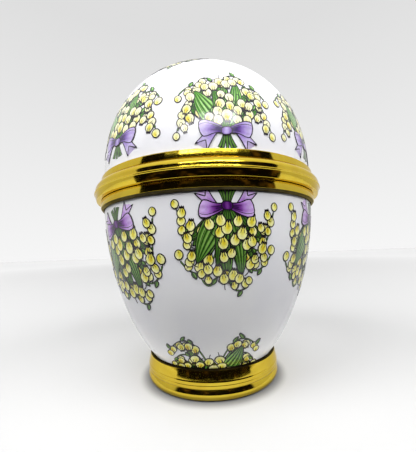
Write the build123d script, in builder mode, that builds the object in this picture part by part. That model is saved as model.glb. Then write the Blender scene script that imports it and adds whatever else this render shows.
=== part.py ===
from build123d import *
import math
import os

# Egg-shaped hinged trinket box: a glazed cup and a glazed domed lid, each set in a gilt brass
# bezel, a stop hinge at the back (+Y) and a turned brass foot.
# Millimetres. +Z is up, the front is -Y, and the origin is on the egg's axis, level with the
# underside of the foot.

# ---- driving dimensions ----
SEAM_Z = 33.9            # height of the joint between cup and lid, and of the hinge axis
RING_R = 22.9            # widest radius of the lid bezel
TOTAL_HEIGHT = 62.5      # foot to crown of the dome
WALL = 1.8               # glazed wall

CUP_R = 21.2             # cup: half an ellipsoid, pointed end down
CUP_DEPTH = 38.1
CUP_EQUATOR_Z = 36.3
CUP_RIM_Z = 33.2
CUP_FLAT_Z = 0.6         # flat ground on the pole of the cup
CUP_FLOOR_Z = 2.6        # inside floor

DOME_R = 21.1            # lid: a full, round-shouldered dome on a straight rim
DOME_BASE_Z = 39.6
DOME_POWER = 2.2         # 2 is an ellipse, larger is fuller in the shoulder
DOME_STEPS = 8
LID_RIM_Z = 34.55

COLLAR_R = 21.62         # lid bezel: top edge of the collar that grips the dome
COLLAR_TOP_Z = 38.2
COLLAR_FOOT_Z = 37.0
COLLAR_INNER_R = 21.2
EDGE_Z = 35.1            # height of the widest line of the lid bezel
LID_FACE_Z = 33.95       # underside of the lid bezel
CHANNEL_R = 21.9         # hollow behind the shoulder, filled with cement

BASE_RING_R = 21.7       # base bezel
BASE_RING_BOTTOM_Z = 32.65
BASE_FACE_Z = 33.85
BASE_FLANGE_Z = 33.35
BASE_GRIP_R = 21.25

LIP_R = 18.95            # sleeve that the lid closes over
LIP_THICKNESS = 0.5
LIP_TOP_Z = 35.7
LIP_BOTTOM_Z = 31.6
LIP_PLAY = 0.1

FOOT_R = 12.9            # foot ring: widest radius of the bottom roll
FOOT_RIM_R = 12.6
FOOT_RIM_Z = 5.1
FOOT_INNER_R = 12.0
FOOT_LEDGE_Z = 2.4       # ledge that the cup sits in
FOOT_BORE_R = 9.8

HINGE_Y = 22.95
KNUCKLE_R = 0.85
KNUCKLE_PLAY = 0.08      # round and between the knuckles
PIN_R = 0.35
PIN_PLAY = 0.04
HINGE_LENGTH = 12.6
KNUCKLES = 5
LEAF_BACK_Y = 23.75
STOP_HALF_ANGLE = 48.5   # each leaf is bevelled by this much, so the lid stops at 97 degrees
LID_LEAF_TOP_Z = 35.7
LEAF_FACE_GAP = 0.07
PIN_HEAD_R = 0.6
PIN_HEAD = 0.22

PITCH = HINGE_LENGTH / KNUCKLES
KNUCKLE_WIDTH = PITCH - KNUCKLE_PLAY
KNUCKLE_X = [PITCH * (i - (KNUCKLES - 1) / 2) for i in range(KNUCKLES)]
BASE_KNUCKLE_X = KNUCKLE_X[0::2]
LID_KNUCKLE_X = KNUCKLE_X[1::2]
CLEAR_R = KNUCKLE_R + KNUCKLE_PLAY


def ellipsoid(radius, depth, low_z, high_z):
    """Slice of the cup's ellipsoid between two heights."""
    with BuildPart() as piece:
        with BuildSketch(Plane.XZ):
            with Locations((0, CUP_EQUATOR_Z)):
                Ellipse(radius, depth)
            with Locations((radius, (low_z + high_z) / 2)):
                Rectangle(2 * radius, high_z - low_z, mode=Mode.INTERSECT)
        revolve(axis=Axis.Z)
    return piece.part


def dome_points(radius, height):
    """Superellipse from the straight rim to the crown."""
    points = []
    for i in range(DOME_STEPS + 1):
        turn = math.radians(90) * i / DOME_STEPS
        along = math.cos(turn) ** (2 / DOME_POWER) if i < DOME_STEPS else 0
        up = math.sin(turn) ** (2 / DOME_POWER)
        points.append((radius * along, DOME_BASE_Z + height * up))
    return points


def dome(radius, height, rim_z):
    """Solid dome on its straight rim."""
    with BuildPart() as piece:
        with BuildSketch(Plane.XZ):
            with BuildLine():
                Polyline((0, DOME_BASE_Z + height), (0, rim_z), (radius, rim_z), (radius, DOME_BASE_Z))
                Spline(*dome_points(radius, height), tangents=((0, 1), (-1, 0)))
            make_face()
        revolve(axis=Axis.Z)
    return piece.part


def lid_bezel_outer():
    """Outside of the lid bezel from its underside to the top of the collar."""
    ThreePointArc((22.4, LID_FACE_Z), (22.72, 34.45), (22.8, EDGE_Z - 0.1))
    ThreePointArc((22.8, EDGE_Z - 0.1), (RING_R, EDGE_Z + 0.01), (22.8, EDGE_Z + 0.12))
    ThreePointArc((22.8, EDGE_Z + 0.12), (22.5, 36.14), (21.86, 36.84))
    Polyline((21.86, 36.84), (21.7, 36.84), (21.7, COLLAR_FOOT_Z), (21.78, COLLAR_FOOT_Z))
    Line((21.78, COLLAR_FOOT_Z), (COLLAR_R, COLLAR_TOP_Z - 0.15))
    ThreePointArc((COLLAR_R, COLLAR_TOP_Z - 0.15), (21.56, COLLAR_TOP_Z - 0.03), (21.45, COLLAR_TOP_Z))


def hinge_rod(radius, length):
    """Round bar on the hinge axis, centred on the egg."""
    with BuildPart() as piece:
        with BuildSketch(Plane.YZ.offset(-length / 2)):
            with Locations((HINGE_Y, SEAM_Z)):
                Circle(radius)
        extrude(amount=length)
    return piece.part


# ---- glazed cup ----
with BuildPart() as cup_shell:
    add(ellipsoid(CUP_R, CUP_DEPTH, CUP_FLAT_Z, CUP_RIM_Z))
    cavity = ellipsoid(CUP_R - WALL, CUP_DEPTH - WALL, CUP_FLOOR_Z, CUP_RIM_Z + WALL)
    add(cavity, mode=Mode.SUBTRACT)
cup_shell.part.label = "cup_shell"

# ---- glazed lid ----
with BuildPart() as lid_shell:
    add(dome(DOME_R, TOTAL_HEIGHT - DOME_BASE_Z, LID_RIM_Z))
    add(dome(DOME_R - WALL, TOTAL_HEIGHT - DOME_BASE_Z - WALL, LID_RIM_Z), mode=Mode.SUBTRACT)
lid_shell.part.label = "lid_shell"

# ---- lid bezel: rolled ring with a rounded shoulder and a collar round the dome ----
with BuildPart() as lid_bezel:
    with BuildSketch(Plane.XZ):
        with BuildLine():
            lid_bezel_outer()
            Polyline(
                (21.45, COLLAR_TOP_Z),
                (COLLAR_INNER_R, COLLAR_TOP_Z),
                (COLLAR_INNER_R, 36.6),
                (CHANNEL_R, 35.9),
                (CHANNEL_R, LID_RIM_Z),
                (LIP_R + LIP_PLAY, LID_RIM_Z),
                (LIP_R + LIP_PLAY, LID_FACE_Z),
                (22.4, LID_FACE_Z),
            )
        make_face()
    revolve(axis=Axis.Z)
    # cove at the back that the knuckles turn in
    add(hinge_rod(CLEAR_R, HINGE_LENGTH + 2 * KNUCKLE_PLAY), mode=Mode.SUBTRACT)
lid_bezel.part.label = "lid_bezel"

with BuildPart() as lid_bezel_cement:
    with BuildSketch(Plane.XZ):
        with BuildLine():
            Polyline(
                (DOME_R, LID_RIM_Z),
                (CHANNEL_R, LID_RIM_Z),
                (CHANNEL_R, 35.9),
                (COLLAR_INNER_R, 36.6),
                (COLLAR_INNER_R, COLLAR_TOP_Z - 0.3),
                (DOME_R, COLLAR_TOP_Z - 0.3),
                close=True,
            )
        make_face()
    revolve(axis=Axis.Z)
lid_bezel_cement.part.label = "lid_bezel_cement"

# ---- base bezel: band round the cup and flange over its rim ----
with BuildPart() as base_bezel:
    with BuildSketch(Plane.XZ):
        with BuildLine():
            Polyline(
                (21.58, BASE_RING_BOTTOM_Z),
                (BASE_GRIP_R, BASE_RING_BOTTOM_Z),
                (BASE_GRIP_R, BASE_FLANGE_Z),
                (LIP_R, BASE_FLANGE_Z),
                (LIP_R, BASE_FACE_Z),
                (BASE_RING_R - 0.06, BASE_FACE_Z),
                (BASE_RING_R, BASE_FACE_Z - 0.06),
                (BASE_RING_R, 32.98),
                (BASE_RING_R - 0.07, 32.93),
            )
            ThreePointArc((BASE_RING_R - 0.07, 32.93), (BASE_RING_R, 32.79), (21.58, BASE_RING_BOTTOM_Z))
        make_face()
    revolve(axis=Axis.Z)
base_bezel.part.label = "base_bezel"

# ---- closing lip: sleeve soldered inside the base bezel ----
with BuildPart() as closing_lip:
    lip_inner_r = LIP_R - LIP_THICKNESS
    with BuildSketch(Plane.XZ):
        with BuildLine():
            Polyline(
                (LIP_R, LIP_TOP_Z - 0.3),
                (LIP_R, LIP_BOTTOM_Z),
                (lip_inner_r, LIP_BOTTOM_Z),
                (lip_inner_r, LIP_TOP_Z - 0.15),
                (lip_inner_r + 0.15, LIP_TOP_Z),
                (LIP_R - 0.12, LIP_TOP_Z),
                close=True,
            )
        make_face()
    revolve(axis=Axis.Z)
closing_lip.part.label = "closing_lip"

with BuildPart() as base_bezel_cement:
    with BuildSketch(Plane.XZ):
        with BuildLine():
            Polyline(
                (LIP_R, LIP_BOTTOM_Z + 0.1),
                (LIP_R + 0.25, LIP_BOTTOM_Z + 0.1),
                (LIP_R + 0.25, CUP_RIM_Z + 0.05),
                (BASE_GRIP_R, CUP_RIM_Z + 0.05),
                (BASE_GRIP_R, BASE_FLANGE_Z),
                (LIP_R, BASE_FLANGE_Z),
                close=True,
            )
        make_face()
    revolve(axis=Axis.Z)
base_bezel_cement.part.label = "base_bezel_cement"

# ---- hinge leaves: blocks soldered behind the two bezels, bevelled to stop the lid ----
nose = LEAF_BACK_Y - HINGE_Y
bevel_rise = nose * math.tan(math.radians(STOP_HALF_ANGLE))

with BuildPart() as lid_ring_envelope:
    with BuildSketch(Plane.XZ):
        with BuildLine():
            lid_bezel_outer()
            Polyline((21.45, COLLAR_TOP_Z), (0, COLLAR_TOP_Z), (0, LID_FACE_Z), (22.4, LID_FACE_Z))
        make_face()
    revolve(axis=Axis.Z)

with BuildPart() as lid_hinge_leaf:
    with BuildSketch(Plane.YZ.offset(-HINGE_LENGTH / 2)):
        with BuildLine():
            Polyline(
                (21.0, SEAM_Z + LEAF_FACE_GAP),
                (HINGE_Y, SEAM_Z + LEAF_FACE_GAP),
                (LEAF_BACK_Y, SEAM_Z + bevel_rise + LEAF_FACE_GAP),
                (LEAF_BACK_Y, LID_LEAF_TOP_Z - 0.35),
                (LEAF_BACK_Y - 0.35, LID_LEAF_TOP_Z),
                (21.0, LID_LEAF_TOP_Z),
                close=True,
            )
        make_face()
    extrude(amount=HINGE_LENGTH)
    add(lid_ring_envelope.part, mode=Mode.SUBTRACT)
    for x in BASE_KNUCKLE_X:
        with BuildSketch(Plane.YZ.offset(x - PITCH / 2)):
            with Locations((HINGE_Y, SEAM_Z)):
                Circle(CLEAR_R)
        extrude(amount=PITCH, mode=Mode.SUBTRACT)
    for x in LID_KNUCKLE_X:
        with BuildSketch(Plane.YZ.offset(x - KNUCKLE_WIDTH / 2)):
            with Locations((HINGE_Y, SEAM_Z)):
                Circle(KNUCKLE_R)
        extrude(amount=KNUCKLE_WIDTH)
    add(hinge_rod(PIN_R + PIN_PLAY, HINGE_LENGTH), mode=Mode.SUBTRACT)
lid_hinge_leaf.part.label = "lid_hinge_leaf"

with BuildPart() as base_hinge_leaf:
    with BuildSketch(Plane.YZ.offset(-HINGE_LENGTH / 2)):
        with BuildLine():
            Polyline(
                (20.4, BASE_FACE_Z - 0.02),
                (HINGE_Y, BASE_FACE_Z - 0.02),
                (LEAF_BACK_Y, SEAM_Z - bevel_rise - LEAF_FACE_GAP),
                (LEAF_BACK_Y, BASE_RING_BOTTOM_Z + 0.2),
                (LEAF_BACK_Y - 0.2, BASE_RING_BOTTOM_Z),
                (20.4, BASE_RING_BOTTOM_Z),
                close=True,
            )
        make_face()
    extrude(amount=HINGE_LENGTH)
    with BuildSketch(Plane.XY.offset(BASE_RING_BOTTOM_Z - 1)):
        Circle(BASE_RING_R)
    extrude(amount=4, mode=Mode.SUBTRACT)
    for x in LID_KNUCKLE_X:
        with BuildSketch(Plane.YZ.offset(x - PITCH / 2)):
            with Locations((HINGE_Y, SEAM_Z)):
                Circle(CLEAR_R)
        extrude(amount=PITCH, mode=Mode.SUBTRACT)
    for x in BASE_KNUCKLE_X:
        with BuildSketch(Plane.YZ.offset(x - KNUCKLE_WIDTH / 2)):
            with Locations((HINGE_Y, SEAM_Z)):
                Circle(KNUCKLE_R)
        extrude(amount=KNUCKLE_WIDTH)
    add(hinge_rod(PIN_R, HINGE_LENGTH), mode=Mode.SUBTRACT)
base_hinge_leaf.part.label = "base_hinge_leaf"

# ---- hinge pin with riveted ends ----
with BuildPart() as hinge_pin:
    add(hinge_rod(PIN_R, HINGE_LENGTH))
    pin_end = HINGE_LENGTH / 2
    for side in (-1, 1):
        with BuildSketch(Plane.YZ.offset(side * (pin_end + PIN_HEAD / 2) - PIN_HEAD / 2)):
            with Locations((HINGE_Y, SEAM_Z)):
                Circle(PIN_HEAD_R)
        extrude(amount=PIN_HEAD)
hinge_pin.part.label = "hinge_pin"

# ---- turned foot ring ----
with BuildPart() as foot_ring:
    with BuildSketch(Plane.XZ):
        with BuildLine():
            Polyline((FOOT_BORE_R, 0.3), (FOOT_BORE_R + 0.3, 0), (12.15, 0))
            ThreePointArc((12.15, 0), (FOOT_R, 1.05), (12.6, 2.0))
            ThreePointArc((12.6, 2.0), (12.84, 2.3), (12.64, 2.6))
            ThreePointArc((12.64, 2.6), (12.82, 2.86), (12.64, 3.1))
            ThreePointArc((12.64, 3.1), (12.54, 4.0), (FOOT_RIM_R, FOOT_RIM_Z - 0.15))
            ThreePointArc((FOOT_RIM_R, FOOT_RIM_Z - 0.15), (12.48, FOOT_RIM_Z), (12.34, FOOT_RIM_Z - 0.12))
            Polyline(
                (12.34, FOOT_RIM_Z - 0.12),
                (FOOT_INNER_R, FOOT_RIM_Z - 0.94),
                (FOOT_INNER_R, FOOT_LEDGE_Z + 0.3),
                (FOOT_INNER_R - 0.3, FOOT_LEDGE_Z),
                (FOOT_BORE_R, FOOT_LEDGE_Z),
                (FOOT_BORE_R, 0.3),
            )
        make_face()
    revolve(axis=Axis.Z)
foot_ring.part.label = "foot_ring"

# ---- cement that beds the cup in the foot ----
with BuildPart() as foot_cement:
    with BuildSketch(Plane.XZ):
        with BuildLine():
            Polyline((7.5, 0.75), (FOOT_BORE_R, 0.75), (FOOT_BORE_R, 2.2), (9.0, 2.2), close=True)
        make_face()
    revolve(axis=Axis.Z)
    add(ellipsoid(CUP_R, CUP_DEPTH, CUP_FLAT_Z, CUP_RIM_Z), mode=Mode.SUBTRACT)
foot_cement.part.label = "foot_cement"

pieces = [
    cup_shell,
    lid_shell,
    lid_bezel,
    lid_bezel_cement,
    base_bezel,
    closing_lip,
    base_bezel_cement,
    lid_hinge_leaf,
    base_hinge_leaf,
    hinge_pin,
    foot_ring,
    foot_cement,
]

os.makedirs("parts", exist_ok=True)
for piece in pieces:
    export_step(piece.part, f"parts/{piece.part.label}.step")
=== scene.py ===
"""Porcelain trinket box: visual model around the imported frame. Lengths are in mm unless a comment says
otherwise, and are turned into metres where they reach Blender."""

import math

import bmesh
import bpy
import numpy as np
from mathutils import Matrix, Vector


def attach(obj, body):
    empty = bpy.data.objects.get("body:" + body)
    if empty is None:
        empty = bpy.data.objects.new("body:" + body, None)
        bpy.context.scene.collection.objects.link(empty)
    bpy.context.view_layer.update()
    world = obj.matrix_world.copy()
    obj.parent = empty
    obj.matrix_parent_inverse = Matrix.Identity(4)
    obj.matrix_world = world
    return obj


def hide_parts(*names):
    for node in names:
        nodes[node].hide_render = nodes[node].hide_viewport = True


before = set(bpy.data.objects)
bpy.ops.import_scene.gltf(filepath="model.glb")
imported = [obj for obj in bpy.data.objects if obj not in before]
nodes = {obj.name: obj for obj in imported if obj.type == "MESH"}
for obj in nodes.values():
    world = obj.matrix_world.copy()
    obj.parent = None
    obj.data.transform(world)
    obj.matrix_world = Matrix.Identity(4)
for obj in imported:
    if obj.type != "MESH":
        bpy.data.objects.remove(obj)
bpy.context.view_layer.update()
MM = 0.001
rng = np.random.default_rng(11)

# ------------------------------------------------------------------ dimensions, as in the CAD part
HINGE_Y = 22.95
HINGE_Z = 33.9
COVE_R = 0.93
COVE_W = 12.76
DOME_R = 21.1
DOME_BASE = 39.6
DOME_H = 22.9
DOME_POWER = 2.2
LID_RIM_Z = 34.55
CUP_R = 21.2
CUP_TOP = 36.3
CUP_DEPTH = 38.1
CUP_RIM_Z = 33.2
CUP_FOOT_Z = 0.6
CUP_FLOOR_Z = 2.6
WALL = 1.8

# How many steps a turned piece has round the axis, and the bend in degrees that stays a sharp edge.
TURN = 288
RING_TURN = 360
SHARP = 35
PRINT_SHARP = 40
# A point closer to the axis than this lies on it.
AXIS = 1e-6


# ------------------------------------------------------------------ camera
CAMERA_AT = (-0.0413, -56.5983, 23.5412)
CAMERA_PITCH = -6.044
CAMERA_ROLL = -2.048
CAMERA_LENS = 20.7312
CAMERA_SENSOR = 36.0


def make_camera():
    """A camera a few centimetres in front of the box, looking slightly up."""
    pitch, roll = math.radians(CAMERA_PITCH), math.radians(CAMERA_ROLL)
    forward = Vector((0, math.cos(pitch), -math.sin(pitch)))
    right = Vector((1, 0, 0))
    up = right.cross(forward)
    side = right * math.cos(roll) + up * math.sin(roll)
    top = up * math.cos(roll) - right * math.sin(roll)
    data = bpy.data.cameras.new("camera")
    cam = bpy.data.objects.new("camera", data)
    bpy.context.scene.collection.objects.link(cam)
    m = Matrix((side, top, -forward)).transposed().to_4x4()
    m.translation = Vector(CAMERA_AT) * MM
    cam.matrix_world = m
    data.sensor_width = CAMERA_SENSOR
    data.lens = CAMERA_LENS
    data.clip_start = 0.001
    data.clip_end = 20.0
    bpy.context.scene.camera = cam


make_camera()


# ------------------------------------------------------------------ node helpers
def linear(rgb):
    """sRGB 0-255 to linear 0-1."""
    c = np.asarray(rgb, float) / 255
    return np.where(c <= 0.04045, c / 12.92, ((c + 0.055) / 1.055) ** 2.4)


def new_material(name, colour, metallic=0.0, rough=0.3, ior=1.5, coat=0.0):
    m = bpy.data.materials.new(name)
    m.use_nodes = True
    b = m.node_tree.nodes["Principled BSDF"]
    b.inputs["Base Color"].default_value = (*[float(v) for v in colour], 1)
    b.inputs["Metallic"].default_value = metallic
    b.inputs["Roughness"].default_value = rough
    b.inputs["IOR"].default_value = ior
    b.inputs["Coat Weight"].default_value = coat
    return m, m.node_tree, b


def node(tree, kind, **values):
    n = tree.nodes.new(kind)
    for k, v in values.items():
        if k in n.inputs:
            n.inputs[k].default_value = v
        else:
            setattr(n, k, v)
    return n


def math_node(tree, op, a, b=None):
    n = tree.nodes.new("ShaderNodeMath")
    n.operation = op
    for i, v in enumerate((a, b)):
        if v is None:
            continue
        if isinstance(v, (int, float)):
            n.inputs[i].default_value = v
        else:
            tree.links.new(v, n.inputs[i])
    return n.outputs[0]


def product(tree, *values):
    out = values[0]
    for v in values[1:]:
        out = math_node(tree, "MULTIPLY", out, v)
    return out


def hypot_node(tree, a, b):
    return math_node(tree, "SQRT", math_node(tree, "ADD", product(tree, a, a), product(tree, b, b)))


def ramp(tree, value, lo, hi, out_lo=0.0, out_hi=1.0, smooth=True):
    """Goes from one value to another while the input goes from lo to hi."""
    n = tree.nodes.new("ShaderNodeMapRange")
    n.interpolation_type = "SMOOTHSTEP" if smooth else "LINEAR"
    tree.links.new(value, n.inputs["Value"])
    n.inputs["From Min"].default_value = lo
    n.inputs["From Max"].default_value = hi
    n.inputs["To Min"].default_value = out_lo
    n.inputs["To Max"].default_value = out_hi
    return n.outputs["Result"]


def mix(tree, factor, a, b):
    n = tree.nodes.new("ShaderNodeMix")
    n.data_type = "RGBA"
    for socket, v in ((n.inputs["Factor"], factor), (n.inputs["A"], a), (n.inputs["B"], b)):
        if isinstance(v, (int, float)):
            socket.default_value = v
        elif hasattr(v, "links"):
            tree.links.new(v, socket)
        else:
            socket.default_value = (*[float(c) for c in v], 1)
    return n.outputs["Result"]


def grey(tree, value):
    n = tree.nodes.new("ShaderNodeCombineColor")
    for channel in ("Red", "Green", "Blue"):
        tree.links.new(value, n.inputs[channel])
    return n.outputs["Color"]


def blend_shaders(tree, factor, first, second):
    n = tree.nodes.new("ShaderNodeMixShader")
    for socket, v in zip(n.inputs, (factor, first.outputs[0], second.outputs[0])):
        tree.links.new(v, socket)
    return n


def empty_tree(owner):
    """Switches a material or world to nodes and clears them."""
    owner.use_nodes = True
    owner.node_tree.nodes.clear()
    return owner.node_tree


def put_out(tree, shader, kind="ShaderNodeOutputMaterial"):
    tree.links.new(shader.outputs[0], tree.nodes.new(kind).inputs["Surface"])


def position(tree):
    """A piece's own coordinates in metres: the vector, and x, y, z apart."""
    coord = tree.nodes.new("ShaderNodeTexCoord")
    xyz = tree.nodes.new("ShaderNodeSeparateXYZ")
    tree.links.new(coord.outputs["Object"], xyz.inputs[0])
    return coord.outputs["Object"], xyz.outputs


def noise(tree, vector, scale, detail=2.0, rough=0.5):
    n = node(tree, "ShaderNodeTexNoise", Scale=scale, Detail=detail, Roughness=rough)
    tree.links.new(vector, n.inputs["Vector"])
    return n.outputs["Fac"]


def bump(tree, shader, height, strength, distance_mm):
    n = node(tree, "ShaderNodeBump", Strength=strength, Distance=distance_mm * MM)
    tree.links.new(height, n.inputs["Height"])
    tree.links.new(n.outputs[0], shader.inputs["Normal"])


# ------------------------------------------------------------------ materials
def make_glaze():
    """White glazed porcelain, hardly uneven in tone and surface."""
    m, t, b = new_material("glaze", (0.83, 0.83, 0.85), rough=0.07, ior=1.52)
    where, _ = position(t)
    soft = noise(t, where, 90, 3)
    tint = mix(t, ramp(t, soft, 0.35, 0.65), linear((238, 238, 243)), linear((243, 243, 245)))
    t.links.new(tint, b.inputs["Base Color"])
    bump(t, b, noise(t, where, 700, 1), 0.08, 0.02)
    return m


EDGE_TINT = (0.94, 0.83, 0.52)


def make_gilt(name, colour, deep, rough, lines, wear, lacquer=0.0):
    """Polished gilt brass with fine turning lines round the axis."""
    m, t, b = new_material(name, colour, metallic=1.0, rough=rough, coat=lacquer)
    where, xyz = position(t)
    angle = math_node(t, "ARCTAN2", xyz[0], xyz[1])
    turned = t.nodes.new("ShaderNodeCombineXYZ")
    t.links.new(product(t, angle, 0.0016), turned.inputs[0])
    t.links.new(hypot_node(t, xyz[0], xyz[1]), turned.inputs[1])
    t.links.new(xyz[2], turned.inputs[2])
    fine = noise(t, turned.outputs[0], 9000, 3, 0.6)
    cloud = noise(t, where, 260, 4, 0.6)
    t.links.new(mix(t, ramp(t, cloud, 0.3, 0.75), deep, colour), b.inputs["Base Color"])
    worn = ramp(t, cloud, 0.3, 0.8, rough + wear, rough)
    scratched = ramp(t, fine, 0.3, 0.8, -0.03, 0.05)
    t.links.new(math_node(t, "ADD", worn, scratched), b.inputs["Roughness"])
    bump(t, b, fine, lines, 0.004)
    b.inputs["Specular Tint"].default_value = (*EDGE_TINT, 1)
    return m


def make_print(name):
    """Printed colours, taken from the mesh's own point colours, slightly grainy."""
    m, t, b = new_material(name, (0.5, 0.5, 0.5), rough=0.1)
    attr = node(t, "ShaderNodeAttribute", attribute_name="print")
    where, _ = position(t)
    grain = ramp(t, noise(t, where, 2600, 2), 0.3, 0.7, 0.9, 1.08)
    toned = t.nodes.new("ShaderNodeVectorMath")
    toned.operation = "SCALE"
    t.links.new(attr.outputs["Color"], toned.inputs[0])
    t.links.new(grain, toned.inputs["Scale"])
    t.links.new(toned.outputs[0], b.inputs["Base Color"])
    return m


def make_ink(name, rgb):
    m, t, b = new_material(name, linear(rgb), rough=0.12)
    where, _ = position(t)
    bump(t, b, noise(t, where, 5000, 2), 0.1, 0.01)
    return m


def make_cement():
    m, t, b = new_material("cement", linear((196, 186, 160)), rough=0.75)
    where, _ = position(t)
    grit = noise(t, where, 1400, 4, 0.65)
    t.links.new(mix(t, grit, linear((170, 158, 130)), linear((216, 208, 186))), b.inputs["Base Color"])
    bump(t, b, grit, 0.5, 0.05)
    return m


GLAZE = make_glaze()
GILT = make_gilt("gilt_brass", (0.70, 0.525, 0.036), (0.64, 0.45, 0.026), 0.07, 0.05, 0.03, lacquer=0.33)
# Painted shade: near-black gilt for the foot's bore, its top edge by the cup and its bottom edge by the
# floor.
SHADE = make_gilt("gilt_brass_painted_shade", (0.030, 0.022, 0.010), (0.012, 0.008, 0.004), 0.55, 0.3, 0.1)
# Painted shade: near-black gilt for the lip under the base ring.
UNDERSIDE_SHADE = make_gilt("gilt_brass_underside_painted_shade", (0.07, 0.058, 0.026), (0.03, 0.024, 0.012), 0.34, 0.3, 0.1)
GILT_DULL = make_gilt("gilt_brass_inside", (0.70, 0.50, 0.09), (0.52, 0.34, 0.05), 0.22, 0.5, 0.14)
STEEL = make_gilt("hinge_steel", (0.60, 0.57, 0.50), (0.46, 0.42, 0.35), 0.24, 0.4, 0.1)
CEMENT = make_cement()
PRINT = make_print("print_colour")
INK = make_ink("print_ink", (34, 30, 34))
# The lid's outline colour is a little paler than the cup's, partly painted light for the stronger light on
# the lid.
INK_LID = make_ink("print_ink_lid", (50, 45, 56))


# ------------------------------------------------------------------ turned pieces
def arc_points(p0, via, p1, count):
    """Points on the circle through three points, without the first one."""
    a, b, c = (np.array(p, float) for p in (p0, via, p1))
    d = 2 * (a[0] * (b[1] - c[1]) + b[0] * (c[1] - a[1]) + c[0] * (a[1] - b[1]))
    sq = [float(p @ p) for p in (a, b, c)]
    centre = np.array((
        (sq[0] * (b[1] - c[1]) + sq[1] * (c[1] - a[1]) + sq[2] * (a[1] - b[1])) / d,
        (sq[0] * (c[0] - b[0]) + sq[1] * (a[0] - c[0]) + sq[2] * (b[0] - a[0])) / d,
    ))
    t0, tv, t1 = (math.atan2(*(p - centre)[::-1]) for p in (a, b, c))
    turn = (t1 - t0) % (2 * math.pi)
    if (tv - t0) % (2 * math.pi) > turn:
        turn -= 2 * math.pi
    rad = np.linalg.norm(a - centre)
    s = t0 + turn * np.linspace(0, 1, count + 1)[1:]
    return [tuple(centre + rad * np.array((math.cos(v), math.sin(v)))) for v in s]


def outline(*steps, count):
    """A profile from points (r, z) and arcs ((via), (end))."""
    pts = [steps[0]]
    for step in steps[1:]:
        if isinstance(step[0], tuple):
            pts += arc_points(pts[-1], step[0], step[1], count)
        else:
            pts.append(step)
    return pts


def soften(pts, size, closed=True, least=22.0):
    """Breaks the corners of a profile that turn more than least degrees, as polishing does."""
    out = []
    n = len(pts)
    for i, p in enumerate(pts):
        p = np.array(p, float)
        if not closed and i in (0, n - 1):
            out.append(tuple(p))
            continue
        a, b = np.array(pts[i - 1], float), np.array(pts[(i + 1) % n], float)
        u, v = a - p, b - p
        lu, lv = np.linalg.norm(u), np.linalg.norm(v)
        cos = float(u @ v / (lu * lv))
        if 180 - math.degrees(math.acos(max(-1, min(1, cos)))) < least or p[0] < AXIS:
            out.append(tuple(p))
            continue
        d = min(size, 0.42 * lu, 0.42 * lv)
        s, e = p + u / lu * d, p + v / lv * d
        for k in (0, 0.25, 0.5, 0.75, 1):
            out.append(tuple((1 - k) ** 2 * s + 2 * k * (1 - k) * p + k * k * e))
    return out


def finish_mesh(name, verts, faces, material, body, replaced):
    mesh = bpy.data.meshes.new(name)
    mesh.from_pydata(verts, [], faces)
    obj = bpy.data.objects.new(name, mesh)
    bpy.context.scene.collection.objects.link(obj)
    bm = bmesh.new()
    bm.from_mesh(mesh)
    bmesh.ops.recalc_face_normals(bm, faces=bm.faces)
    bm.to_mesh(mesh)
    bm.free()
    mesh.shade_smooth()
    mesh.set_sharp_from_angle(angle=math.radians(SHARP))
    mesh.materials.append(material)
    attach(obj, body)
    if replaced:
        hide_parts(*replaced)
    return obj


def lathe(name, profile, material, body, replaced=(), closed=True, turn=TURN):
    """Turns a profile (r, z) about the axis. Ends on the axis become poles."""
    angles = np.linspace(0, 2 * math.pi, turn, endpoint=False)
    verts, rings = [], []
    for r, z in profile:
        if r < AXIS:
            rings.append([len(verts)] * turn)
            verts.append((0, 0, z * MM))
        else:
            rings.append(list(range(len(verts), len(verts) + turn)))
            verts += [(r * math.sin(a) * MM, -r * math.cos(a) * MM, z * MM) for a in angles]
    faces = []
    following = rings[1:] + rings[:1] if closed else rings[1:]
    for low, high in zip(rings, following):
        for j in range(turn):
            k = (j + 1) % turn
            face = list(dict.fromkeys((low[j], low[k], high[k], high[j])))
            if len(face) > 2:
                faces.append(face)
    return finish_mesh(name, verts, faces, material, body, replaced)


def cup_curve(count, radius=CUP_R, depth=CUP_DEPTH, low=CUP_FOOT_Z, high=CUP_RIM_Z):
    """Points up the cup's wall, evenly spread in the ellipse's own angle."""
    start = math.acos(min(1.0, (CUP_TOP - low) / depth))
    end = math.acos((CUP_TOP - high) / depth)
    return [
        (radius * math.sin(t), CUP_TOP - depth * math.cos(t)) for t in np.linspace(start, end, count)
    ]


def dome_curve(count, radius=DOME_R, height=DOME_H):
    """Points up the lid's wall: a short straight band, then the crown down to its tip."""
    pts = [(radius, z) for z in np.linspace(LID_RIM_Z, DOME_BASE, 12)[:-1]]
    power = 2 / DOME_POWER
    for t in np.linspace(0, math.pi / 2, count):
        s = max(0.0, math.cos(t)) ** power
        pts.append((radius * s, DOME_BASE + height * max(0.0, math.sin(t)) ** power))
    pts[-1] = (0.0, DOME_BASE + height)
    return pts


def make_shells():
    """The glazed cup and the glazed lid, each one wall turned about the axis."""
    outer = cup_curve(110)
    inner = cup_curve(90, CUP_R - WALL, CUP_DEPTH - WALL, CUP_TOP - 0.9995 * (CUP_DEPTH - WALL))
    inner = [(r, max(z, CUP_FLOOR_Z)) for r, z in inner]
    wall = soften([(0.0, CUP_FOOT_Z), *outer, *inner[::-1]], 0.35, closed=False, least=40)
    lathe("cup_glazed", [*wall, (0.0, CUP_FLOOR_Z)], GLAZE, "box", ["cup_shell"], closed=False)
    out, ins = dome_curve(120), dome_curve(100, DOME_R - WALL, DOME_H - WALL)
    lid = soften([*out, *ins[::-1]], 0.35, least=60)
    lathe("lid_glazed", lid, GLAZE, "lid", ["lid_shell"])


def make_metal():
    make_lid_ring()
    make_base_ring()
    make_foot()


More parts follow.
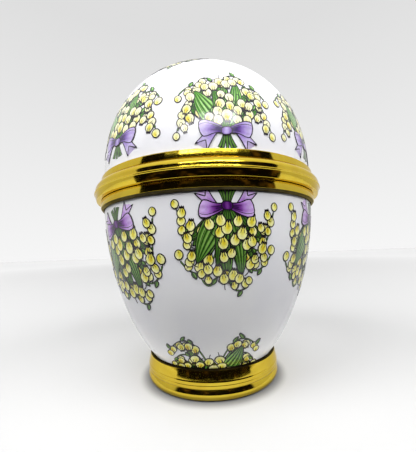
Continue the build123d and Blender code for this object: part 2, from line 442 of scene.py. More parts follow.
def make_lid_ring():
    """Lip, small bead, rounded shoulder and the collar that grips the dome; then down the inside."""
    profile = outline(
        (22.47, 33.95), (22.78, 35.0), (22.78, 35.04),
        ((22.9, 35.2), (22.75, 35.37)),
        (22.74, 35.44), (22.74, 35.8),
        ((22.453, 36.513), (21.8, 36.84)),
        (21.7, 36.84), (21.7, 37.0), (21.78, 37.0), (21.68, 38.05),
        ((21.62, 38.17), (21.5, 38.2)),
        (21.2, 38.2), (21.2, 36.6), (21.9, 35.9), (21.9, 34.55), (19.05, 34.55), (19.05, 33.95),
        count=12,
    )
    ring = lathe(
        "lid_ring", soften(profile, 0.06), GILT, "lid", ["lid_bezel"], turn=RING_TURN
    )
    cut_hinge_cove(ring)


def make_base_ring():
    """The plain band round the cup's rim, and below it a near-black lip that is painted shade for the gap
    under the band.
    """
    profile = [(21.7, 32.65), (21.7, 33.85), (18.95, 33.85), (18.95, 33.35), (21.25, 33.35), (21.25, 32.65)]
    lathe(
        "base_ring", soften(profile, 0.04), GILT, "box", ["base_bezel"], turn=RING_TURN
    )
    # A near-black lip under the band: painted shade.
    under = [(21.18, 32.25), (21.46, 32.36), (21.66, 32.64), (21.3, 32.66)]
    lathe("base_ring_underside", soften(under, 0.04), UNDERSIDE_SHADE, "box")


def make_foot():
    """Bottom roll, cove, two fine beads and a collar; painted shade inside the bore, on the top edge by the
    cup and on the bottom edge by the floor.
    """
    profile = outline(
        (9.8, 0.3), (10.1, 0.0), (12.15, 0.0),
        ((12.9, 0.95), (12.88, 1.2)),
        (12.865, 1.25), (12.7, 1.75), (12.6, 1.9), (12.6, 1.96), (12.8, 2.02),
        ((12.86, 2.28), (12.835, 2.56)),
        (12.82, 2.6),
        ((12.86, 2.86), (12.82, 3.14)),
        (12.79, 3.2), (12.78, 3.25), (12.51, 4.68), (12.49, 4.74),
        (12.15, 5.06), (12.0, 4.5), (12.0, 2.7), (11.7, 2.4), (9.8, 2.4),
        count=14,
    )
    # The painted shade goes inside the bore, on the top edge and on the bottom edge.
    inner_r, inner_z, top_z, bottom_z = 12.38, 2.3, 4.76, 0.26
    foot = lathe("foot", soften(profile, 0.05, least=30), GILT, "box", ["foot_ring"])
    foot.data.materials.append(SHADE)
    for face in foot.data.polygons:
        c = face.center / MM
        inside = math.hypot(c.x, c.y) < inner_r and c.z > inner_z
        if inside or c.z > top_z or c.z < bottom_z:
            face.material_index = 1


def cut_hinge_cove(obj):
    """The scoop in the lid ring that the hinge knuckles turn in."""
    mesh = bpy.data.meshes.new("cove_cutter")
    bm = bmesh.new()
    bmesh.ops.create_cone(
        bm, cap_ends=True, segments=64, radius1=COVE_R * MM, radius2=COVE_R * MM, depth=COVE_W * MM
    )
    bmesh.ops.rotate(bm, verts=bm.verts, matrix=Matrix.Rotation(math.pi / 2, 3, "Y"))
    bmesh.ops.translate(bm, verts=bm.verts, vec=Vector((0, HINGE_Y, HINGE_Z)) * MM)
    bm.to_mesh(mesh)
    bm.free()
    cutter = bpy.data.objects.new("cove_cutter", mesh)
    bpy.context.scene.collection.objects.link(cutter)
    mod = obj.modifiers.new("cove", "BOOLEAN")
    mod.operation = "DIFFERENCE"
    mod.solver = "EXACT"
    mod.object = cutter
    deps = bpy.context.evaluated_depsgraph_get()
    cut = bpy.data.meshes.new_from_object(obj.evaluated_get(deps))
    obj.modifiers.clear()
    old = obj.data
    obj.data = cut
    bpy.data.meshes.remove(old)
    bpy.data.objects.remove(cutter)
    obj.data.shade_smooth()
    obj.data.set_sharp_from_angle(angle=math.radians(SHARP))


make_shells()
make_metal()

for name, material in (
    ("closing_lip", GILT_DULL),
    ("lid_hinge_leaf", GILT),
    ("base_hinge_leaf", GILT),
    ("hinge_pin", STEEL),
    ("lid_bezel_cement", CEMENT),
    ("base_bezel_cement", CEMENT),
    ("foot_cement", CEMENT),
):
    mesh = nodes[name].data
    mesh.materials.clear()
    mesh.materials.append(material)


# ------------------------------------------------------------------ printed posies: drawing
# A sheet is a list of groups, drawn flat in mm. A group is a list of parts: a grid of points, its colours
# or None for ink, and whether its rows join up into a loop. A group goes over the groups before it.
def bezier(p0, p1, p2, count):
    t = np.linspace(0, 1, count)[:, None]
    p0, p1, p2 = (np.array(p, float) for p in (p0, p1, p2))
    return (1 - t) ** 2 * p0 + 2 * t * (1 - t) * p1 + t * t * p2


def resample(path, step):
    path = np.asarray(path, float)
    d = np.concatenate(([0], np.cumsum(np.linalg.norm(np.diff(path, axis=0), axis=1))))
    n = max(3, int(math.ceil(d[-1] / step)) + 1)
    s = np.linspace(0, d[-1], n)
    return np.column_stack((np.interp(s, d, path[:, 0]), np.interp(s, d, path[:, 1])))


def across(path, closed=False):
    """Unit vectors to the left of a path's direction."""
    if closed:
        t = np.roll(path, -1, 0) - np.roll(path, 1, 0)
    else:
        t = np.gradient(path, axis=0)
    t /= np.maximum(np.linalg.norm(t, axis=1), 1e-9)[:, None]
    return np.column_stack((-t[:, 1], t[:, 0]))


def band(path, half, columns=1, closed=False):
    """Grid of points over a path of the given half width."""
    side = across(path, closed)
    half = np.broadcast_to(np.asarray(half, float), len(path))
    v = np.linspace(-1, 1, columns + 1)
    return path[:, None, :] + side[:, None, :] * (half[:, None] * v[None, :])[:, :, None]


# Half the width of the thread that a bell hangs from.
THREAD = 0.055


def ink_line(path, half, taper=True):
    path = resample(path, 0.16)
    u = np.linspace(0, 1, len(path))
    w = half * (0.45 + 0.55 * np.sin(math.pi * np.clip(u, 0.02, 0.98)) ** 0.5) if taper else half
    return band(path, w), None, False


def ink_loop(path, half):
    path = resample(np.vstack((path, path[:1])), 0.15)[:-1]
    return band(path, half, closed=True), None, True


def paint(colours, t):
    """Colour at t along a list of evenly spaced colours."""
    c = np.asarray(colours, float)
    x = np.clip(t, 0, 1) * (len(c) - 1)
    i = np.minimum(x.astype(int), len(c) - 2)
    f = (x - i)[..., None]
    return c[i] * (1 - f) + c[i + 1] * f


def edge_of(grid):
    """The boundary of a grid of points, once round."""
    return np.vstack((grid[:, 0], grid[-1, 1:], grid[::-1, -1][1:], grid[0, ::-1][1:-1]))


def leaf(pal, base, bend, tip, width, veins=4, dark=0.0):
    path = resample(bezier(base, bend, tip, 40), 0.28)
    u = np.linspace(0, 1, len(path))
    half = width / 2 * np.maximum(np.sin(math.pi * u**0.86) ** 0.66 * (1.05 - 0.2 * u), 0.015)
    columns = max(6, int(width / 0.17))
    grid = band(path, half, columns)
    v = np.linspace(-1, 1, columns + 1)
    stripe = 0.5 - 0.5 * np.cos(2 * math.pi * (v[None, :] * 0.5 + 0.5) * (veins + 0.5))
    tone = stripe * (0.35 + 0.65 * np.sin(math.pi * np.clip(u, 0, 1)))[:, None]
    tone = np.clip(tone * (1 - dark) + rng.normal(0, 0.05, tone.shape), 0, 1)
    colours = paint(pal["leaf"], tone)
    parts = [(grid, colours, False)]
    for k in range(1, veins):
        x = 2 * k / veins - 1
        line = path + across(path) * (half * x)[:, None]
        a, b = int(len(line) * 0.08), int(len(line) * rng.uniform(0.82, 0.95))
        parts.append(ink_line(line[a:b], 0.042))
    parts.append(ink_loop(edge_of(grid), pal["line"]))
    return parts


def bell(pal, at, size, tilt, openness=1.0):
    """A round nodding bell hanging from a point. Tilt in degrees turns it anticlockwise."""
    rows, columns = 9, 12
    u = np.linspace(0, 1, rows)[:, None]
    v = np.linspace(-1, 1, columns + 1)[None, :]
    close = 0.88 if openness > 0.5 else 0.985
    half = 0.47 * np.sin(math.pi * (0.045 + (close - 0.045) * u)) ** 0.52
    x = v * half * size
    lobes = 0.36 * openness * (1 - np.abs(2 * ((1.5 * v + 0.5) % 1) - 1)) * u**5
    y = -size * (u * (0.92 if openness > 0.5 else 1.05) + lobes)
    a = math.radians(tilt)
    grid = np.stack((x * math.cos(a) - y * math.sin(a), x * math.sin(a) + y * math.cos(a)), -1)
    grid = grid + np.array(at)
    v0, u0, warm = rng.uniform(-0.45, 0.45), rng.uniform(0.55, 0.85), rng.uniform(0, 1)
    glow = np.exp(-(((v - v0) / 0.55) ** 2) - ((u - u0) / 0.42) ** 2)
    low, high = pal["warmth"]
    tone = np.clip(glow * (low + (high - low) * warm**1.6) + 0.06, 0, 1)
    colours = paint(pal["bell"], tone)
    parts = [(grid, colours, False)]
    if openness > 0.5:
        for col in (columns // 3, columns - columns // 3):
            parts.append(ink_line(grid[5:, col], pal["line"] * 0.62))
    else:
        parts.append(ink_line(grid[5:-1, columns // 2], pal["line"] * 0.6))
    parts.append(ink_loop(edge_of(grid), pal["line"]))
    return parts


def stem(pal, path, half):
    path = resample(path, 0.25)
    return [
        (band(path, half + 0.05), None, False),
        (band(path, half * 0.62), paint(pal["stem"], np.full((len(path), 2), 0.5)), False),
    ]


def bow_loop(pal, side):
    """One loop of the ribbon bow, to the given side, with its near rim and folds."""
    path = resample(bezier((0.35 * side, 0.1), (2.1 * side, 0.75), (3.95 * side, 0.35), 30), 0.2)
    u = np.linspace(0, 1, len(path))
    half = 0.42 + 0.82 * np.clip(u / 0.7, 0, 1) ** 1.3
    half *= np.sqrt(np.clip(1 - np.clip((u - 0.86) / 0.14, 0, 1) ** 2.5, 0.12, 1))
    grid = band(path, half, 12)
    v = np.linspace(-1, 1, 13)[None, :]
    heart = np.exp(-((v * 0.9) ** 2) - ((u[:, None] - 0.16) / 0.42) ** 2)
    tone = np.clip(0.98 - 1.15 * heart + 0.10 * np.cos(v * 8 + 1) * u[:, None], 0, 1)
    parts = [(grid, paint(pal["ribbon"], tone), False)]
    rim = path + across(path) * (half * 0.62 * side)[:, None]
    parts.append(ink_line(rim[int(len(rim) * 0.2) : int(len(rim) * 0.97)], 0.05))
    for x, stop in ((-0.5, 0.5), (-0.1, 0.42), (0.3, 0.55)):
        line = path + across(path) * (half * x)[:, None]
        parts.append(ink_line(line[: max(4, int(len(line) * stop))], 0.045))
    parts.append(ink_loop(edge_of(grid), pal["line"] * 1.1))
    return parts


def bow_tail(pal, side):
    """The forked end of the ribbon that shows below one loop."""
    path = resample(bezier((1.6 * side, 0.2), (2.6 * side, -0.6), (3.75 * side, -2.35), 24), 0.2)
    u = np.linspace(0, 1, len(path))
    half = 0.45 + 0.55 * u
    grid = band(path, half, 8)
    v = np.linspace(-1, 1, 9)
    step = path[-1] - path[-2]
    step /= np.linalg.norm(step)
    notch = np.clip((u - 0.35) / 0.65, 0, 1)
    grid = grid - (notch[:, None] * (1 - np.abs(v))[None, :] * 1.25)[:, :, None] * step
    crease = np.exp(-((v * 2.2) ** 2))[None, :] * (1 - u[:, None])
    tone = np.clip(0.62 + 0.5 * u[:, None] - 0.35 * crease, 0, 1)
    parts = [(grid, paint(pal["ribbon"], tone), False)]
    parts.append(ink_loop(edge_of(grid), pal["line"]))
    return parts


def knot(pal):
    t = np.linspace(-1, 1, 9)
    path = np.column_stack((0.05 * np.sin(2.2 * t), 0.6 * t + 0.08))
    half = 0.78 * (np.clip(1 - np.abs(t) ** 3.2, 0.25, 1)) ** 0.5
    grid = band(path, half, 8)
    v = np.linspace(-1, 1, 9)[None, :]
    tone = np.clip(pal["knot"] + 0.25 * np.cos(v * 3.5) * np.ones((9, 1)), 0, 1)
    parts = [(grid, paint(pal["ribbon"], tone), False)]
    parts.append(ink_loop(edge_of(grid), pal["line"] * 1.15))
    return parts


# How far along its stem a spray's first bell hangs.
FIRST_BELL = 0.42


def spray(pal, groups, start, bend, end, bells, size):
    """An arching stem with bells hanging under its outer part and small bracts above it."""
    path = bezier(start, bend, end, 60)
    groups.append(stem(pal, path, 0.09))
    side = 1 if end[0] > start[0] else -1
    for k in range(bells):
        u = FIRST_BELL + (1 - FIRST_BELL) * k / max(1, bells - 1)
        here = path[min(59, int(u * 59))]
        last = k == bells - 1
        out = side if k % 2 else -side
        reach = np.array((out * rng.uniform(0.1, 0.5), -rng.uniform(0.15, 0.4)))
        if last:
            reach = np.array((side * 0.15, -0.3))
        s = size * (1.08 - 0.26 * u) * rng.uniform(0.88, 1.06)
        thread = bezier(here, here + reach * (0.9, 0.2), here + reach * (1, 1.2), 8)
        groups.append([ink_line(thread, THREAD, taper=False)])
        if k % 3 == 0:
            lean = np.array((out * -0.55, 0.85)) * rng.uniform(0.9, 1.4)
            groups.append(leaf(pal, here, here + lean * 0.6 + (0.1, 0), here + lean, 0.62, veins=1))
        groups.append(bell(pal, here + reach, s, out * rng.uniform(3, 16), 0.0 if last else 1.0))


# The bells over the middle of a posy: across, up, size and tilt in degrees.
FRONT_BELLS = (
    (-0.6, 9.6, 1.4, -6), (0.5, 9.2, 1.5, 9), (1.5, 9.6, 1.35, 14), (-2.5, 8.3, 1.4, -14),
    (-1.5, 8.6, 1.5, 4), (3.3, 7.9, 1.5, 15), (4.2, 7.2, 1.4, 3), (-5.3, 6.6, 1.5, 6),
    (5.0, 6.0, 1.5, 17), (-0.5, 6.9, 1.4, -9), (2.6, 5.5, 1.55, 4), (3.8, 5.1, 1.5, -9),
    (0.5, 6.4, 1.5, 12), (-0.6, 5.3, 1.6, -9), (0.8, 4.9, 1.6, 6), (1.9, 4.2, 1.6, 9),
    (-5.5, 4.4, 1.5, -17), (-1.3, 3.9, 1.6, 10), (0.0, 3.5, 1.65, 3), (-2.2, 2.9, 1.5, -13),
    (-0.9, 2.5, 1.5, -6), (3.2, 2.7, 1.5, 14), (1.5, 2.6, 1.6, 6),
)


def draw_posy(pal, tall=True):
    """Bell flowers and striped leaves tied with a ribbon bow; knot at the origin, growing up +y."""
    g = []
    up = np.array((1.0, pal["reach"]))
    for x in (-1.2, 1.3, -0.7, 0.75, 0.05):
        g.append(stem(pal, bezier((0.12 * x, 0.1), (0.45 * x, -1.3), (x, -2.75 + 0.25 * abs(x)), 14), 0.2))
    back = [
        ((-2.6, 2.2), (-5.6, 4.2), 2.1, 0.3), ((2.8, 2.2), (5.4, 4.6), 2.3, 0.3),
        ((-1.6, 1.2), (-3.3, 3.3), 1.9, 0.4), ((1.7, 1.2), (3.4, 3.2), 1.9, 0.4),
        ((-3.0, 5.0), (-3.6, 7.6), 1.9, 0.1), ((3.2, 5.0), (3.9, 7.4), 1.9, 0.1),
    ]
    if tall:
        back += [((-0.6, 5.4), (0.2, 9.6), 2.3, 0.0)]
    for bend, tip, width, dark in back:
        g.append(leaf(pal, (0.0, 0.5), bend * up, tip * up, width, dark=dark))
    arcs = [
        ((-0.9, 3.6), (-3.2, 10.8), (-6.7, 6.6), 6, 1.55), ((0.9, 3.8), (3.4, 10.8), (6.7, 6.4), 6, 1.55),
        ((-1.2, 2.2), (-5.4, 6.2), (-7.1, 0.4), 6, 1.5), ((1.3, 2.3), (5.5, 6.2), (7.3, 0.9), 6, 1.5),
        ((-1.0, 2.8), (-4.6, 7.8), (-6.4, 3.6), 3, 1.5), ((1.1, 2.8), (4.6, 7.6), (6.2, 4.0), 3, 1.5),
    ]
    if tall:
        arcs += [
            ((0.0, 5.0), (-0.4, 12.2), (3.1, 10.1), 5, 1.4),
            ((-0.6, 5.0), (-1.8, 11.6), (-3.6, 9.0), 3, 1.4),
        ]
    for start, bend, end, bells, size in arcs:
        spray(pal, g, start * up, bend * up, end * up, bells + (not tall), size)
    front = [
        ((-2.6, 2.6), (-4.3, 6.9), 3.3, -0.15), ((0.4, 2.4), (0.5, 4.6), 2.6, 0.35),
    ]
    if tall:
        front += [((2.2, 5.0), (1.9, 8.9), 2.5, 0.0), ((-0.9, 4.6), (-1.5, 7.4), 2.0, 0.2)]
    for bend, tip, width, dark in front:
        g.append(leaf(pal, (0.0, 0.3), bend * up, tip * up, width, dark=dark))
    for x, y, size, tilt in FRONT_BELLS:
        y *= pal["reach"]
        if (y < 6.6 and abs(x) < 3.5) or tall:
            x, size = x + rng.uniform(-0.2, 0.2), size * rng.uniform(0.9, 1.06)
            thread = bezier((x * 0.8, y + 0.9), (x, y + 0.6), (x, y - 0.05), 8)
            g.append([ink_line(thread, THREAD, taper=False)])
            g.append(bell(pal, (x, y), size, tilt))
    for side in (-1, 1):
        g.append(bow_tail(pal, side))
    for side in (-1, 1):
        g.append(bow_loop(pal, side))
    g.append(knot(pal))
    if pal["hand"] < 0:
        g = [[mirrored(part) for part in group] for group in g]
    return g


def mirrored(part):
    """The same part the other way round, left for right."""
    grid, tint, closed = part
    return grid[:, ::-1] * (-1, 1), None if tint is None else tint[:, ::-1], closed


# Colours from dark to light (bells from light to dark), and how each posy is drawn: which way round,
# how deep the bells' colour goes, how long it is, how dark the knot is, and half the outline's width.
CUP_INKS = {
    "leaf": linear(((22, 50, 14), (56, 104, 30), (104, 156, 62), (140, 186, 90))),
    "bell": linear(((248, 247, 190), (240, 234, 116), (229, 214, 56), (208, 168, 34))),
    "stem": linear(((70, 110, 44), (92, 134, 56))),
    "ribbon": linear(((66, 16, 92), (120, 58, 150), (174, 124, 206), (212, 182, 234))),
    "hand": -1,
    "warmth": (0.5, 1.02),
    "reach": 1.17,
    "knot": 0.02,
    "line": 0.08,
}
# The lid's colours are partly the print's own and partly painted light: mostly paler than the cup's, for
# the stronger light on the lid.
LID_INKS = {
    "leaf": linear(((26, 84, 12), (66, 136, 32), (124, 188, 78), (176, 220, 138))),
    "bell": linear(((250, 250, 218), (245, 241, 156), (236, 221, 82), (221, 176, 48))),
    "stem": linear(((80, 124, 56), (104, 148, 66))),
    "ribbon": linear(((58, 28, 108), (106, 74, 156), (160, 134, 206), (200, 186, 230))),
    "hand": 1,
    "warmth": (0.14, 0.86),
    "reach": 1.0,
    "knot": 0.62,
    "line": 0.07,
}


# ------------------------------------------------------------------ printed posies: on the surface
class Wall:
    """Arc length up a profile, with radius, height and outward normal at each length."""

    def __init__(self, pts):
        p = np.array(pts, float)
        step = np.linalg.norm(np.diff(p, axis=0), axis=1)
        self.length = np.concatenate(([0], np.cumsum(step)))
        self.r, self.z = p[:, 0], p[:, 1]
        t = np.gradient(p, self.length, axis=0)
        t /= np.linalg.norm(t, axis=1)[:, None]
        self.nr, self.nz = t[:, 1], -t[:, 0]

    def at(self, length):
        return [np.interp(length, self.length, a) for a in (self.r, self.z, self.nr, self.nz)]

    def length_at_height(self, z):
        return float(np.interp(z, self.z, self.length))


WALL_POINTS = 3000
CUP_WALL = Wall(cup_curve(WALL_POINTS))
DOME_WALL = Wall(dome_curve(WALL_POINTS))
# How far off the glaze the lowest colour lies, how much each layer adds, and how deep the edges reach.
PRINT_BASE = 0.010
PRINT_STEP = 0.0013
PRINT_ROOT = -0.02


def levels(groups, cell=0.14, reach=9.5):
    """How many steps up each part lies, so that a later group lies over the earlier ones it covers."""
    size = int(4 * reach / cell)
    height = np.zeros((size, size), int)
    out = []
    for parts in groups:
        cells = set()
        for grid, _, _ in parts:
            fine = [grid]
            if grid.shape[1] > 2:
                fine += [(grid[1:] + grid[:-1]) / 2, (grid[:, 1:] + grid[:, :-1]) / 2]
            for pts in fine:
                index = ((pts.reshape(-1, 2) + 2 * reach) / cell).astype(int)
                cells.update(map(tuple, index))
        grown = np.array([(i + di, j + dj) for i, j in cells for di in (-1, 0, 1) for dj in (-1, 0, 1)])
        base = int(height[grown[:, 0], grown[:, 1]].max())
        level, rows = base, []
        for k, (_, colours, _) in enumerate(parts):
            if k and (colours is not None or parts[k - 1][1] is not None):
                level += 1
            rows.append(level)
        height[grown[:, 0], grown[:, 1]] = level + 1
        out.append(rows)
    return out


def shell_grid(points, lift, closed, colours, verts, faces, tints, to_surface):
    """One thin closed shell over a grid of flat points."""
    rows, cols = points.shape[:2]
    flat = points.reshape(-1, 2)
    top = to_surface(flat, lift)
    rim = np.vstack((points[:, 0], points[:, -1]))
    low = to_surface(rim, PRINT_ROOT)
    n0 = len(verts)
    verts.extend(map(tuple, top))
    verts.extend(map(tuple, low))
    if colours is not None:
        c = colours.reshape(-1, 3)
        tints.extend(map(tuple, c))
        tints.extend(map(tuple, np.vstack((colours[:, 0], colours[:, -1]))))
    b0 = n0 + rows * cols
    for i in range(rows if closed else rows - 1):
        k = (i + 1) % rows
        a, b = n0 + i * cols, n0 + k * cols
        for j in range(cols - 1):
            faces.append((a + j, a + j + 1, b + j + 1, b + j))
        left, left_next, right, right_next = b0 + i, b0 + k, b0 + rows + i, b0 + rows + k
        faces.append((left, left_next, right_next, right))
        faces.append((a, b, left_next, left))
        faces.append((a + cols - 1, right, right_next, b + cols - 1))
    if not closed:
        last = n0 + (rows - 1) * cols
        faces.append((*range(n0, n0 + cols)[::-1], b0, b0 + rows))
        faces.append((*range(last, last + cols), b0 + 2 * rows - 1, b0 + rows - 1))


class Decal:
    """Collects shells for one object."""

    def __init__(self):
        self.verts, self.faces, self.tints = [], [], []

    def build(self, name, material, body, slot):
        mesh = bpy.data.meshes.new(name)
        mesh.from_pydata([tuple(c * MM for c in v) for v in self.verts], [], self.faces)
        mesh.shade_smooth()
        mesh.set_sharp_from_angle(angle=math.radians(PRINT_SHARP))
        if self.tints:
            attr = mesh.color_attributes.new("print", "FLOAT_COLOR", "POINT")
            rgba = np.ones((len(self.verts), 4), np.float32)
            rgba[:, :3] = self.tints
            attr.data.foreach_set("color", rgba.ravel())
        mesh.materials.append(material)
        obj = bpy.data.objects.new(name, mesh)
        bpy.context.scene.collection.objects.link(obj)
        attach(obj, body)
        return obj


def wall_mapper(wall, length0, azimuth, sign, stretch, lean, wide):
    """Lays flat points on a wall, +y up it for sign 1 and down it for sign -1. A lean goes clockwise."""
    cos, sin = math.cos(math.radians(lean)), math.sin(math.radians(lean))

    def place(flat, lift):
        x, y = flat[:, 0] * wide, flat[:, 1] * np.where(flat[:, 1] > 0, stretch, 1.0)
        x, y = x * cos + y * sin, y * cos - x * sin
        r, z, nr, nz = wall.at(length0 + sign * y)
        a = math.radians(azimuth) + sign * x / np.maximum(r, 0.5)
        r, z = r + nr * lift, z + nz * lift
        return np.column_stack((r * np.sin(a), -r * np.cos(a), z))

    return place


def crown_mapper(wall, turn, shift):
    """Lays flat points round the crown's tip, +y towards the given azimuth."""

    def place(flat, lift):
        x, y = flat[:, 0], flat[:, 1] + shift
        rho = np.hypot(x, y)
        r, z, nr, nz = wall.at(wall.length[-1] - rho)
        a = math.radians(turn) + np.arctan2(x, y)
        r, z = r + nr * lift, z + nz * lift
        return np.column_stack((r * np.sin(a), -r * np.cos(a), z))

    return place


def lay(sheet, ranks, place, ink, name, body):
    colour = Decal()
    for parts, rows in zip(sheet, ranks):
        for (grid, tint, closed), level in zip(parts, rows):
            target = ink if tint is None else colour
            lift = PRINT_BASE + PRINT_STEP * level
            shell_grid(grid, lift, closed, tint, target.verts, target.faces, target.tints, place)
    colour.build(name, PRINT, body, "print_colour")


# Where each posy's knot sits: degrees round from the front and height in mm; then how far the posy is
# stretched up, its lean in degrees, and how far it is stretched across.
LID_POSIES = (
    (8.5, 40.9, 1.0, 0, 1.0), (58.0, 42.1, 1.0, -2, 1.1), (110, 41.5, 1.0, 3, 1.04),
    (161, 41.8, 1.0, -2, 1.04), (212, 41.3, 1.0, 2, 1.04), (264, 41.9, 1.0, -3, 1.04),
    (316.5, 42.3, 1.0, 5, 1.14),
)
CUP_POSIES = (
    (7.5, 30.2, 1.0, 0, 1.0), (60.5, 29.3, 1.07, 4, 1.1), (112, 29.6, 1.03, -3, 1.04),
    (162, 29.4, 1.05, 2, 1.04), (212, 29.8, 1.02, -2, 1.04), (262, 29.3, 1.05, 3, 1.04),
    (314, 28.9, 1.1, -8, 1.14),
)
FOOT_POSIES = 3
FOOT_POSY_TURN = 0.5
FOOT_POSY_UP = 3.3
FOOT_POSY_SHAPE = (1.0, 0.0, 1.06)
CROWN_POSY_TURN = -26.0
CROWN_POSY_OUT = 7.4


def print_posies():
    cup_sheet, lid_sheet = draw_posy(CUP_INKS), draw_posy(LID_INKS)
    low_sheet = draw_posy(CUP_INKS, tall=False)
    cup_ranks, lid_ranks, low_ranks = levels(cup_sheet), levels(lid_sheet), levels(low_sheet)
    cup_ink, lid_ink = Decal(), Decal()
    for k, (turn, height, *shape) in enumerate(LID_POSIES):
        place = wall_mapper(DOME_WALL, DOME_WALL.length_at_height(height), turn, 1, *shape)
        lay(lid_sheet, lid_ranks, place, lid_ink, f"lid_posy_{k + 1}", "lid")
    for k, (turn, height, *shape) in enumerate(CUP_POSIES):
        place = wall_mapper(CUP_WALL, CUP_WALL.length_at_height(height), turn, -1, *shape)
        lay(cup_sheet, cup_ranks, place, cup_ink, f"cup_posy_{k + 1}", "box")
    for k in range(FOOT_POSIES):
        place = wall_mapper(
            CUP_WALL, FOOT_POSY_UP, FOOT_POSY_TURN + 360 / FOOT_POSIES * k, 1, *FOOT_POSY_SHAPE
        )
        lay(low_sheet, low_ranks, place, cup_ink, f"foot_posy_{k + 1}", "box")
    place = crown_mapper(DOME_WALL, CROWN_POSY_TURN, CROWN_POSY_OUT)
    lay(lid_sheet, lid_ranks, place, lid_ink, "crown_posy", "lid")
    cup_ink.build("cup_print_ink", INK, "box", "print_ink")
    lid_ink.build("lid_print_ink", INK_LID, "lid", "print_ink")


print_posies()


# ------------------------------------------------------------------ stage and light
# The floor, with ranges in metres: how pale it looks close to the box and further off, which is painted
# light;
# the painted shadow where the foot meets it; a painted shadow round the box that pales far behind; and the
# light it gives back to the box. A squeeze over 1 makes an area narrower across than it is deep, and one
# under 1 makes it wider.
FLOOR_HALF = 4.0
# Painted light: the floor is paler close to the box than further off.
FLOOR_NEAR, FLOOR_FAR = 0.80, 0.655
NEAR_RANGE = (0.02, 0.06)
# Painted shadow where the foot meets the floor.
CONTACT_SHADE = 0.4
CONTACT_RANGE = (0.0126, 0.0150)
# Painted shadow round the box: darkest near it, paling far behind.
BEHIND_LOW, BEHIND_HIGH = 0.62, 0.985
BEHIND_RANGE = (0.1, 1.2)
BEHIND_Y = 0.055
BEHIND_SQUEEZE = math.sqrt(5.0)
BOUNCE_NEAR, BOUNCE_FAR = 0.85, 0.01
BOUNCE_RANGE = (0.0145, 0.0225)
BOUNCE_SQUEEZE = 0.6


def make_floor():
    """A pale floor with painted light and shade: paler close to the box, with a painted shadow at the foot
    and round the box that pales again far behind. It lights the box less than it looks, except close by.
    """
    mesh = bpy.data.meshes.new("floor")
    s = FLOOR_HALF
    mesh.from_pydata([(-s, -s, 0), (s, -s, 0), (s, s, 0), (-s, s, 0)], [], [(0, 1, 2, 3)])
    m = bpy.data.materials.new("floor")
    t = empty_tree(m)
    _, (x, y, _) = position(t)
    out_from_axis = hypot_node(t, x, y)
    behind = hypot_node(t, product(t, x, BEHIND_SQUEEZE), math_node(t, "SUBTRACT", y, BEHIND_Y))
    # The tone the camera sees: painted light near the box, the painted contact shadow and the painted
    # shadow round the box.
    tone = product(
        t,
        ramp(t, out_from_axis, *NEAR_RANGE, FLOOR_NEAR, FLOOR_FAR),
        ramp(t, out_from_axis, *CONTACT_RANGE, CONTACT_SHADE, 1.0),
        ramp(t, behind, *BEHIND_RANGE, BEHIND_LOW, BEHIND_HIGH, smooth=False),
    )
    seen = t.nodes.new("ShaderNodeBsdfDiffuse")
    t.links.new(grey(t, tone), seen.inputs["Color"])
    close = hypot_node(t, product(t, x, BOUNCE_SQUEEZE), y)
    bounce = t.nodes.new("ShaderNodeBsdfDiffuse")
    t.links.new(grey(t, ramp(t, close, *BOUNCE_RANGE, BOUNCE_NEAR, BOUNCE_FAR)), bounce.inputs["Color"])
    path = t.nodes.new("ShaderNodeLightPath")
    put_out(t, blend_shaders(t, path.outputs["Is Diffuse Ray"], seen, bounce))
    mesh.materials.append(m)
    obj = bpy.data.objects.new("floor", mesh)
    bpy.context.scene.collection.objects.link(obj)


# The card: radius and heights in mm, angles in degrees round from the front.
CARD_R = 64.0
CARD_ENDS = (-55, 56.6)
CARD_NOTCH = (-33.0, 36.0)
CARD_TOP_SIDE = 67.0
CARD_TOP_FRONT = 54.5
CARD_STEPS = 60
CARD_DARK, CARD_BROWN = (0.004, 0.003, 0.002), (0.13, 0.075, 0.03)


def make_card():
    """The dark front of the tent, lower in the middle: a curved screen that only reflections show."""
    m = bpy.data.materials.new("card")
    t = empty_tree(m)
    where, _ = position(t)
    glow = t.nodes.new("ShaderNodeEmission")
    patch = ramp(t, noise(t, where, 70, 3, 0.6), 0.52, 0.72)
    t.links.new(mix(t, patch, CARD_DARK, CARD_BROWN), glow.inputs["Color"])
    put_out(t, glow)
    left, right = CARD_NOTCH
    notch = (left - 0.01, left, right, right + 0.01)
    verts, faces = [], []
    for k, turn in enumerate(np.sort(np.concatenate((np.linspace(*CARD_ENDS, CARD_STEPS), notch)))):
        tall = CARD_TOP_FRONT if left <= turn <= right else CARD_TOP_SIDE
        a = math.radians(turn)
        x, y = CARD_R * math.sin(a) * MM, -CARD_R * math.cos(a) * MM
        verts += [(x, y, 0.0), (x, y, tall * MM)]
        if k:
            faces.append((2 * k - 2, 2 * k, 2 * k + 1, 2 * k - 1))
    mesh = bpy.data.meshes.new("card")
    mesh.from_pydata(verts, [], faces)
    mesh.materials.append(m)
    obj = bpy.data.objects.new("card", mesh)
    bpy.context.scene.collection.objects.link(obj)
    obj.visible_camera = False
    obj.visible_diffuse = False
    obj.visible_shadow = False


# Each lamp's name, degrees round from the front and power in watts; then places in metres.
LAMPS = (("lamp_left", -52, 1.296), ("lamp_right", 50, 0.9504))
LAMP_SIZE = 0.22
LAMP_OUT = 0.27
LAMP_UP = 0.36
LAMP_AIM = Vector((0, 0, 0.035))


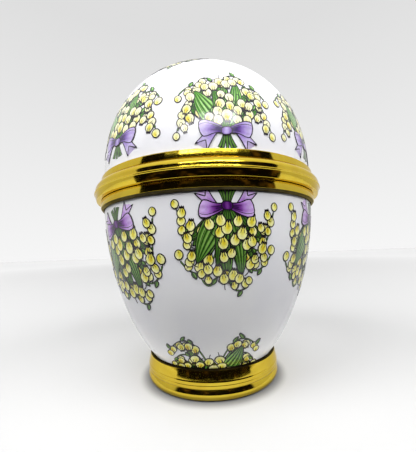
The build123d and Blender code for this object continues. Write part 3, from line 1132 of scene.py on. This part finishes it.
def make_lamps():
    """Two soft lamps high at the front, left and right; they light things but no reflection shows them."""
    for name, turn, watts in LAMPS:
        data = bpy.data.lights.new(name, "AREA")
        data.shape = "DISK"
        data.size = LAMP_SIZE
        data.energy = watts
        obj = bpy.data.objects.new(name, data)
        bpy.context.scene.collection.objects.link(obj)
        a = math.radians(turn)
        spot = Vector((LAMP_OUT * math.sin(a), -LAMP_OUT * math.cos(a), LAMP_UP))
        facing = (LAMP_AIM - spot).to_track_quat("-Z", "Y").to_matrix().to_4x4()
        obj.matrix_world = Matrix.Translation(spot) @ facing
        obj.visible_glossy = False
        obj.visible_camera = False


# The tent, with azimuths in degrees round from the front and heights in degrees up from level. Each
# pair of strengths is low down, then high up: the tent in reflections, the tent as it lights matt
# surfaces, and the backdrop that the camera sees.
TENT_LOW, TENT_HIGH = 0.66, 1.15
SOFT_LOW, SOFT_HIGH = 0.17, 1.64
BACKDROP_LOW, BACKDROP_HIGH = 0.93, 0.73
DARK_SIDES = (-64, 66)
DARK_TOP = (33, 37)
DARKENING = 0.975
PANEL = 4.0
PANEL_SIDES = (-44, 47)
PANEL_HEIGHT = (28.5, 36)
PANEL_FADE_LEFT, PANEL_FADE_RIGHT = (-28, -25, 0.06, 1.0), (30, 34, 1.0, 0.08)
GLARE = 34.4
GLARE_SIDES = (-4, 36)
GLARE_HEIGHT = (34.5, 43.5)


def make_world():
    """A white tent with a dark front, a panel of small bright lamps over it and a streaky glare on top."""
    world = bpy.data.worlds.new("tent")
    bpy.context.scene.world = world
    t = empty_tree(world)
    coord = t.nodes.new("ShaderNodeTexCoord")
    where = coord.outputs["Generated"]
    xyz = t.nodes.new("ShaderNodeSeparateXYZ")
    t.links.new(where, xyz.inputs[0])
    x, y, z = xyz.outputs
    azimuth = product(t, math_node(t, "ARCTAN2", x, product(t, y, -1.0)), math.degrees(1))
    height = product(t, math_node(t, "ARCSINE", z), math.degrees(1))

    def window(value, ends, soft):
        lo, hi = ends
        rising = ramp(t, value, lo - soft, lo + soft)
        return product(t, rising, ramp(t, value, hi - soft, hi + soft, 1, 0))

    dark = product(t, window(azimuth, DARK_SIDES, 3), ramp(t, height, *DARK_TOP, 1, 0))
    fleck = math_node(t, "ADD", noise(t, where, 80, 2, 0.6), ramp(t, azimuth, -10, 2, 0.06, 0.0))
    panel = product(
        t,
        window(azimuth, PANEL_SIDES, 1),
        window(height, PANEL_HEIGHT, 1.5),
        ramp(t, azimuth, *PANEL_FADE_LEFT),
        ramp(t, azimuth, *PANEL_FADE_RIGHT),
        ramp(t, azimuth, -12, 4, 1.6, 1.0),
        ramp(t, fleck, 0.53, 0.63, 0.03, 3.0),
        PANEL,
    )
    glare = product(
        t,
        window(azimuth, GLARE_SIDES, 5),
        window(height, GLARE_HEIGHT, 2),
        ramp(t, noise(t, where, 26, 4, 0.7), 0.46, 0.60, 0.04, 1.0),
        GLARE,
    )
    path = t.nodes.new("ShaderNodeLightPath")
    strength = t.nodes.new("ShaderNodeMix")
    t.links.new(path.outputs["Is Diffuse Ray"], strength.inputs["Factor"])
    t.links.new(ramp(t, height, -5, 70, TENT_LOW, TENT_HIGH), strength.inputs["A"])
    t.links.new(ramp(t, height, -5, 75, SOFT_LOW, SOFT_HIGH), strength.inputs["B"])
    lit = math_node(t, "SUBTRACT", 1.0, product(t, dark, DARKENING))
    tent = product(t, strength.outputs["Result"], lit)
    total = math_node(t, "ADD", tent, math_node(t, "ADD", panel, glare))
    light = node(t, "ShaderNodeBackground", Color=(1, 1, 1, 1))
    t.links.new(total, light.inputs["Strength"])
    seen = node(t, "ShaderNodeBackground", Color=(1, 1, 1, 1))
    backdrop = ramp(t, height, -2, 42, BACKDROP_LOW, BACKDROP_HIGH, smooth=False)
    t.links.new(backdrop, seen.inputs["Strength"])
    both = blend_shaders(t, path.outputs["Is Camera Ray"], light, seen)
    put_out(t, both, "ShaderNodeOutputWorld")


make_floor()
make_card()
make_lamps()
make_world()
bpy.context.scene.view_settings.view_transform = "Standard"
